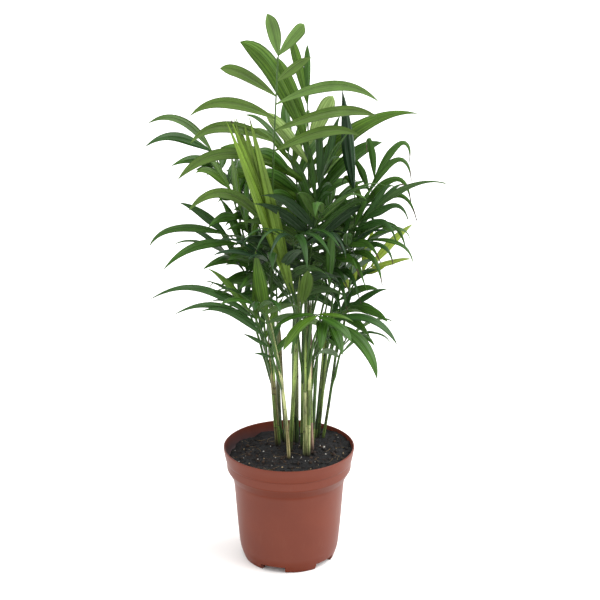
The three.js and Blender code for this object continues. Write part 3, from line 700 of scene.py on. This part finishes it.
def stemPaint(add, place, base, streak):
    look = stemLook
    around = add("Mapping", {"Vector": place["UV"], "Scale": look["fibre"]})
    fibre = add("TexNoise", {"Vector": around, "Scale": 1.1, "Detail": 4, "Roughness": 0.7})
    drawn = add("Mapping", {"Vector": place["Object"], "Scale": look["draw"]})
    patch = add("TexNoise", {"Vector": drawn, "Scale": look["patches"], "Detail": 3})
    speck = add("TexNoise", {"Vector": place["Object"], "Scale": look["specks"], "Detail": 3})
    height = add("SeparateXYZ", {"Vector": place["Object"]}).outputs["Z"]
    part = {}
    for kind, source in {"streaks": fibre, "shade": patch, "brown": speck, "level": height}.items():
        part[kind] = add("MapRange", {"Value": source, **dict(zip(limits, look[kind]))})
    tone = add("MixRGB", {"Fac": part["streaks"], "Color1": linear(base), "Color2": linear(streak)})
    tone = add("HueSaturation", {"Color": tone, "Value": part["shade"]})
    splash = add("Math", {0: part["level"], 1: fibre}, operation="ADD", use_clamp=True)
    for share, colour in ((part["brown"], look["speckColour"]), (splash, look["splashColour"])):
        tone = add("MixRGB", {"Fac": share, "Color1": tone, "Color2": linear(colour)})
    return tone, patch, fibre


stemMaterials = {}
for tone, colours in stemTones.items():
    stemMaterials[tone] = makeMaterial("palm_stem_" + tone, stemLook, stemPaint, *colours)
scarMaterial = makeMaterial("corky_node_scar", stemLook, stemPaint, "#1a120a", "#402d1a")


def addStrand(shape, chance, stem, across, back, thick, dress, scar):
    look = stemLook
    low = soilAt(*stem["foot"]) - look["sink"]
    top = stem["head"][2] - (chance.uniform(0, look["loose"]) if thick < 1 else 0)
    nodes = []
    z = low + chance.uniform(*look["firstNode"])
    while z < low + look["nodesTo"]:
        nodes.append(z)
        z += chance.uniform(*look["nodeGap"])

    def fromNode(z):
        return min((abs(z - n) for n in nodes), default=99)

    bow = direction(chance.uniform(0, 360)) * look["bow"] * thick
    heights = sorted([low + i * look["step"] for i in range(int((top - low) / look["step"]) + 1)]
                     + [z + d for z in nodes for d in (-look["ring"], look["ring"])])
    line, radii = [], []
    for z in heights:
        s = (z - low) / (top - low)
        full = stemRadius(stem, z)
        apart = Vector((across * full, back * full, 0)) * (1 + look["spread"] * s * s)
        line.append(stemPoint(stem, z) + apart + bow * sin(pi * s))
        swell = look["swell"] * exp(-(fromNode(z) / look["swellWide"]) ** 2)
        radii.append(full * thick * (1 + swell))
    # the newest sheath closes to a point above the head
    ahead = (line[-1] - line[-2]).normalized()
    tip, headRadius = line[-1], radii[-1]
    for i in range(1, look["tipSteps"] + 1):
        line.append(tip + ahead * (i * look["tipStep"]))
        radii.append(max(headRadius * (1 - i / look["tipSteps"]) ** look["tipRound"], look["tipRadius"]))
        heights.append(top + i * look["tipStep"])
    seam = chance.uniform(0, fullTurn)
    half = chance.uniform(0, fullTurn)

    def wobble(i, a):
        turn = a - seam - look["windPerMm"] * heights[i]
        lap = exp(-((turn + pi) % fullTurn - pi) ** 2 / look["seamWide"])
        return 1 + look["ridgeHigh"] * cos(look["ridges"] * turn) + look["seamHigh"] * lap

    def slotAt(row, k):
        z = (heights[row] + heights[min(row + 1, len(heights) - 1)]) / 2
        turn = fullTurn * k / look["sides"] - half
        if fromNode(z) < look["scar"] and cos(turn) > look["scarSide"]:
            return scar
        return dress[sum(1 for n in nodes if n < z) % len(dress)]

    addTube(shape, line, radii, look["sides"], slotAt, wobble)


def buildStem(order, name):
    chance = random.Random(300 + order)
    materials = [stemMaterials[tone] for tone in stemDress[name].split()]
    shape = newShape()
    count = len(materials)
    for i, (across, back, thick) in enumerate(stemStrands.get(name, ((0, 0, 1),))):
        dress = [(i + k) % count for k in range(count)]
        addStrand(shape, chance, stems[name], across, back, thick, dress, count)
    return makePiece("palm_stem_" + name, shape, materials + [scarMaterial], ["stem_" + name])


for order, name in enumerate(stems):
    buildStem(order, name)
print("stems built:", len(stems))

# Injection-moulded polypropylene tinted terracotta: satin, slightly dusty, a little darker where it is thin.
pot = {
    "segments": 180,
    # (radius, height, rounding): outside from the foot to the lip, inside from the lip down to the floor
    "outside": (
        (36.8, 9, 0.5), (37.2, 0.15, 0.5), (41.4, 0, 0.8), (43.1, 4.5, 2.0), (45.4, 12, 4), (47.4, 33, 0),
        (50.2, 71, 0), (51.3, 78.5, 2.0), (55.5, 86.0, 1.2), (56.9, 88.2, 1.0), (57.1, 95.6, 0.3),
        (57.9, 96.8, 0.4), (59.2, 103, 2.0), (59.9, 108.4, 0.6), (59.0, 109, 0.5),
    ),
    "inside": (
        (58.4, 108.4, 0.4), (57.9, 103, 2.0), (56.6, 97.2, 0.6), (55.7, 96, 0.6), (55.2, 88.5, 1.5),
        (50.1, 79.5, 2.0), (48.9, 71.4, 0), (46.1, 33.4, 0), (44.1, 13.0, 1.0), (43.0, 11.4, 1.0),
    ),
    "cornerShare": 0.45,  # most of a side that a rounding takes
    "feet": 5, "turn": -75, "notchWide": 32, "notchHigh": 6, "notchFrom": 30, "notchTo": 50, "notchLow": -3,
    "sharp": 38,  # edges that turn by more degrees stay crisp
    "stainFrom": 0.08,  # height above which the inside is stained
    # finish
    "ior": 1.49, "shine": 0.20, "rough": (0, 1, 0.36, 0.48),
    "colour": "#673122", "thin": "#5a291e", "dust": "#7a4f3f", "soil": "#403334",
    "clouds": 28, "scuffs": 260, "grain": 2200,  # per metre, so the grain of the mould is 0.5 mm
    "draw": (1, 1, 0.18),  # scuffs run up and down
    "thinning": (0.3, 0.7, 0, 0.5), "dusting": (0.58, 0.85, 0, 0.25),
    # painted shade: faces that look down, most of all the underside of the band, are painted darker and
    # richer in colour
    "paintedShadeValue": (-0.5, -0.15, 0.76, 1), "paintedShadeSaturation": (-0.5, -0.15, 1.25, 1),  # the underside of the band
    # wet peat has splashed up the wall, most of all at the left
    "level": (0.096, 0.108, 1, -0.05), "leftward": (-0.055, 0, 0.35, -0.5), "blotch": (0.3, 0.7, -0.25, 0.25),
    "relief": {"Strength": 0.15, "Distance": 0.0001},
}


def rounded(profile):
    # corners of the profile turned into short curves
    points = []
    for i, (r, z, size) in enumerate(profile):
        here = Vector((r, z))
        if not size or i in (0, len(profile) - 1):
            points.append(here)
            continue
        before = Vector(profile[i - 1][:2]) - here
        after = Vector(profile[i + 1][:2]) - here
        a = here + before.normalized() * min(size, before.length * pot["cornerShare"])
        b = here + after.normalized() * min(size, after.length * pot["cornerShare"])
        for t in (0, 0.25, 0.5, 0.75, 1):
            points.append(a * (1 - t) ** 2 + here * (2 * t * (1 - t)) + b * t ** 2)
    return points


def potPaint(add, place, stained):
    place = place["Object"]
    cloud = add("TexNoise", {"Vector": place, "Scale": pot["clouds"], "Detail": 4})
    grain = add("TexNoise", {"Vector": place, "Scale": pot["grain"], "Detail": 2})
    drawn = add("Mapping", {"Vector": place, "Scale": pot["draw"]})
    scuff = add("TexNoise", {"Vector": drawn, "Scale": pot["scuffs"], "Detail": 5, "Roughness": 0.7})
    normal = add("NewGeometry").outputs["Normal"]
    facing = add("SeparateXYZ", {"Vector": normal}).outputs["Z"]
    sources = {"thinning": cloud, "dusting": scuff, "paintedShadeValue": facing, "paintedShadeSaturation": facing}
    if stained:
        spot = add("SeparateXYZ", {"Vector": place}).outputs
        sources.update({"level": spot["Z"], "leftward": spot["X"], "blotch": cloud})
    part = {}
    for kind, source in sources.items():
        part[kind] = add("MapRange", {"Value": source, **dict(zip(limits, pot[kind]))})
    tone = add("MixRGB", {"Fac": part["thinning"], "Color1": linear(pot["colour"]),
                          "Color2": linear(pot["thin"])})
    tone = add("MixRGB", {"Fac": part["dusting"], "Color1": tone, "Color2": linear(pot["dust"])})
    # painted shade: darker, richer colour where a face looks down
    tone = add("HueSaturation", {"Color": tone, "Saturation": part["paintedShadeSaturation"], "Value": part["paintedShadeValue"]})
    if stained:
        both = add("Math", {0: part["level"], 1: part["leftward"]}, operation="ADD")
        share = add("Math", {0: both, 1: part["blotch"]}, operation="ADD", use_clamp=True)
        tone = add("MixRGB", {"Fac": share, "Color1": tone, "Color2": linear(pot["soil"])})
    return tone, scuff, grain


def looseObject(name, bm):
    mesh = bpy.data.meshes.new(name)
    bm.to_mesh(mesh)
    bm.free()
    return putObject(name, mesh)


def buildPot():
    points = rounded(pot["outside"] + pot["inside"])
    count = pot["segments"]
    bm = bmesh.new()
    rings = []
    for k in range(count):
        out = direction(360 * k / count)
        rings.append([bm.verts.new((out * p.x + up * p.y) * mm) for p in points])
    for k in range(count):
        a, b = rings[k], rings[(k + 1) % count]
        for i in range(len(points) - 1):
            bm.faces.new((a[i], b[i], b[i + 1], a[i + 1]))
    bm.faces.new([ring[0] for ring in rings][::-1])  # underside and floor
    bm.faces.new([ring[-1] for ring in rings])
    body = looseObject("pot_body", bm)

    # the notches between the feet are cut out with blocks that reach below the floor
    cutters = bmesh.new()
    near, far, half = pot["notchFrom"], pot["notchTo"], pot["notchWide"] / 2
    for i in range(pot["feet"]):
        middle = pot["turn"] + (i + 0.5) * 360 / pot["feet"]
        corners = [direction(middle + side * half) * r
                   for r, side in ((near, -1), (far, -1), (far, 1), (near, 1))]
        low = [cutters.verts.new((c + up * pot["notchLow"]) * mm) for c in corners]
        high = [cutters.verts.new((c + up * pot["notchHigh"]) * mm) for c in corners]
        cutters.faces.new(low[::-1])
        cutters.faces.new(high)
        for k in range(4):
            cutters.faces.new((low[k], low[(k + 1) % 4], high[(k + 1) % 4], high[k]))
    cutter = looseObject("notches", cutters)
    cut = body.modifiers.new("notches", "BOOLEAN")
    cut.object = cutter
    cut.operation = "DIFFERENCE"
    graph = bpy.context.evaluated_depsgraph_get()
    final = bpy.data.meshes.new_from_object(body.evaluated_get(graph))
    bpy.data.objects.remove(body)
    bpy.data.objects.remove(cutter)
    final.materials.clear()
    for name, stained in (("terracotta_polypropylene", False), ("soil_stained_polypropylene", True)):
        final.materials.append(makeMaterial(name, pot, potPaint, stained))
    for face in final.polygons:
        face.use_smooth = True
        inward = face.normal.x * face.center.x + face.normal.y * face.center.y < 0
        face.material_index = 1 if inward and face.center.z > pot["stainFrom"] else 0
    placePiece("nursery_pot", final, ["pot"], pot["sharp"])


buildPot()
print("pot built")

# Moist peat with perlite: almost black, crumbly and dull, with white grains and brown root fibres.
compost = {
    "rows": 84, "segments": 240, "wallGap": 0.15, "wallAt": 56, "depth": 14,
    "lumps": ((1.5, 13, 0), (1.0, 5, 7), (0.7, 2.2, 3), (0.4, 1.0, 9)),  # height, size and layer of noise
    "edgeFrom": 48, "edgeWide": 9, "edgeHigh": 1.2, "edgeLumps": (2.0, 9, 5),  # it climbs towards the wall
    "sunk": 2.6, "sunkFrom": 30, "sunkOver": 40,  # and has settled at the back, on the left
    # material: dark, light, scale of its clods per metre
    "peat": ("moist_peat_compost", "#08090b", "#201f20", 500),
    "ior": 1.4, "shine": 0.5, "rough": (0, 1, 0.80, 0.95), "clods": (0.42, 0.72, 0, 1),
    "relief": {"Strength": 0.8, "Distance": 0.0008},
}
lumpLook = {"stretch": ((0.7, 1.3), (0.7, 1.3), (0.6, 1.0)), "turn": 6.28, "bumps": 1.6, "shift": 50}
litter = {
    # count and size, rareness of the big ones, how far they stand out, roughness, detail, two materials
    "compost_crumbs": {
        "count": 520, "size": (0.5, 1.9), "rare": 3, "stand": 0.2, "rough": 0.9, "detail": 2,
        "materials": (("peat_crumbs", "#0f0e0f", "#302b28", 700), ("bark_bits", "#231914", "#4d3b2c", 900)),
    },
    "perlite_grains": {
        "count": 70, "size": (0.35, 0.95), "rare": 2, "stand": 0.5, "rough": 0.6, "detail": 1,
        "materials": (("expanded_perlite", "#aeaaa2", "#cfcdc6", 1500),
                      ("sand_grains", "#867255", "#b19f7e", 1500)),
    },
}
rootFibres = {
    "count": 90, "length": (5, 17), "steps": 9, "turn": 16, "radius": 0.17, "sides": 5,
    "reach": 53, "wall": 55.5, "lift": 0.3, "dip": 0.5, "clear": 0.1,  # they lie on the crumbs
    "materials": (("root_fibre", "#2b1d16", "#4f3829", 900), ("pale_root_fibre", "#645235", "#877455", 900)),
}


def wallRadius(z):  # inside of the pot near the soil
    line = sorted((high, r) for r, high, _ in pot["inside"])
    for (z0, r0), (z1, r1) in zip(line, line[1:]):
        if z <= z1:
            return mix(r0, r1, max(0, (z - z0) / (z1 - z0)))
    return line[-1][1]


def soilHeight(x, y):
    p = Vector((x, y, 0))

    def lumps(high, size, layer):
        return high * noise.noise(p / size + up * layer)

    rough = sum(lumps(*look) for look in compost["lumps"])
    edge = max(0, (p.length - compost["edgeFrom"]) / compost["edgeWide"])
    sunk = compost["sunk"] * min(1, max(0, (y - x - compost["sunkFrom"]) / compost["sunkOver"]))
    return soilAt(x, y) - sunk + rough + edge * edge * (compost["edgeHigh"] + lumps(*compost["edgeLumps"]))


def compostPaint(add, place, dark, light, scale):
    clods = add("TexNoise", {"Vector": place["Object"], "Scale": scale, "Detail": 5, "Roughness": 0.7})
    share = add("MapRange", {"Value": clods, **dict(zip(limits, compost["clods"]))})
    tone = add("MixRGB", {"Fac": share, "Color1": linear(dark), "Color2": linear(light)})
    return tone, clods, clods


def addSoilPiece(name, shape, kinds, replaced=()):
    materials = [makeMaterial(kind, compost, compostPaint, *look) for kind, *look in kinds]
    makePiece(name, shape, materials, replaced)


def buildCompost():
    count, rows = compost["segments"], compost["rows"]
    shape = newShape()
    shape["points"].append(Vector((0, 0, soilHeight(0, 0))))
    for i in range(1, rows + 1):
        for k in range(count):
            out = direction(360 * k / count)
            limit = wallRadius(soilHeight(*(out * compost["wallAt"]).xy)) - compost["wallGap"]
            p = out * (limit * i / rows)
            shape["points"].append(Vector((p.x, p.y, soilHeight(p.x, p.y))))
    for k in range(count):  # the rim of the soil goes down along the wall to a closed underside
        p = shape["points"][1 + (rows - 1) * count + k]
        out = Vector((p.x, p.y, 0)).normalized()
        z = soil["top"] - compost["depth"]
        shape["points"].append(out * (wallRadius(z) - compost["wallGap"]) + up * z)
    for k in range(count):
        shape["faces"].append((0, 1 + k, 1 + (k + 1) % count))
    for i in range(rows):
        for k in range(count):
            a = 1 + i * count + k
            b = 1 + i * count + (k + 1) % count
            shape["faces"].append((a, a + count, b + count, b))
    shape["faces"].append([1 + rows * count + k for k in range(count)][::-1])
    shape["slots"] = [0] * len(shape["faces"])
    corners = [shape["points"][v] for face in shape["faces"] for v in face]
    shape["uvs"] = [(p.x / uvSpan, p.y / uvSpan) for p in corners]
    addSoilPiece("compost", shape, [compost["peat"]], ["soil"])


def lump(detail):
    bm = bmesh.new()
    bmesh.ops.create_icosphere(bm, subdivisions=detail, radius=1)
    points = [v.co.copy() for v in bm.verts]
    faces = [tuple(v.index for v in f.verts) for f in bm.faces]
    bm.free()
    return points, faces


def addLump(shape, template, at, size, chance, slot, rough):
    points, faces = template
    base = len(shape["points"])
    axis = Vector([chance.gauss(0, 1) for _ in range(3)]).normalized()
    turn = Quaternion(axis, chance.uniform(0, lumpLook["turn"]))
    stretch = Vector([chance.uniform(*span) for span in lumpLook["stretch"]])
    far = lumpLook["shift"]
    shift = Vector([chance.uniform(-far, far) for _ in range(3)])
    for p in points:
        q = p * (1 + rough * noise.noise(p * lumpLook["bumps"] + shift))
        shape["points"].append(at + turn @ (q * stretch) * size)
    for face in faces:
        shape["faces"].append(tuple(base + v for v in face))
        shape["slots"].append(slot)
        shape["uvs"].extend(((0, 0), (1, 0), (0, 1)))


def soilSpot(chance, reach=55):
    while True:
        x, y = chance.uniform(-reach, reach), chance.uniform(-reach, reach)
        if hypot(x, y) < reach:
            return Vector((x, y, soilHeight(x, y)))


def mostlyFirst(chance):  # one in three takes the second material
    return chance.choice((0, 0, 1))


def scatterLitter(chance):
    for name, look in litter.items():
        shape, template = newShape(), lump(look["detail"])
        for _ in range(look["count"]):
            size = mix(*look["size"], chance.random() ** look["rare"])
            at = soilSpot(chance) + up * size * look["stand"]
            addLump(shape, template, at, size, chance, mostlyFirst(chance), look["rough"])
        addSoilPiece(name, shape, look["materials"])


def scatterFibres(chance):
    look = rootFibres
    shape = newShape()
    for _ in range(look["count"]):
        at = soilSpot(chance, look["reach"]) + up * look["lift"]
        heading = chance.uniform(0, 360)
        turn = chance.uniform(-look["turn"], look["turn"])
        step = chance.uniform(*look["length"]) / look["steps"]
        line = []
        for i in range(look["steps"]):
            z = max(soilHeight(at.x, at.y), at.z - look["dip"]) + look["clear"]
            line.append(Vector((at.x, at.y, z)))
            at = line[-1] + direction(heading) * step
            if hypot(at.x, at.y) > look["wall"]:
                break
            heading += turn
        if len(line) > 2:
            addTube(shape, line, [look["radius"]] * len(line), look["sides"], mostlyFirst(chance))
    addSoilPiece("root_fibres", shape, look["materials"])


buildCompost()
litterChance = random.Random(7)
scatterLitter(litterChance)
scatterFibres(litterChance)
print("compost built")
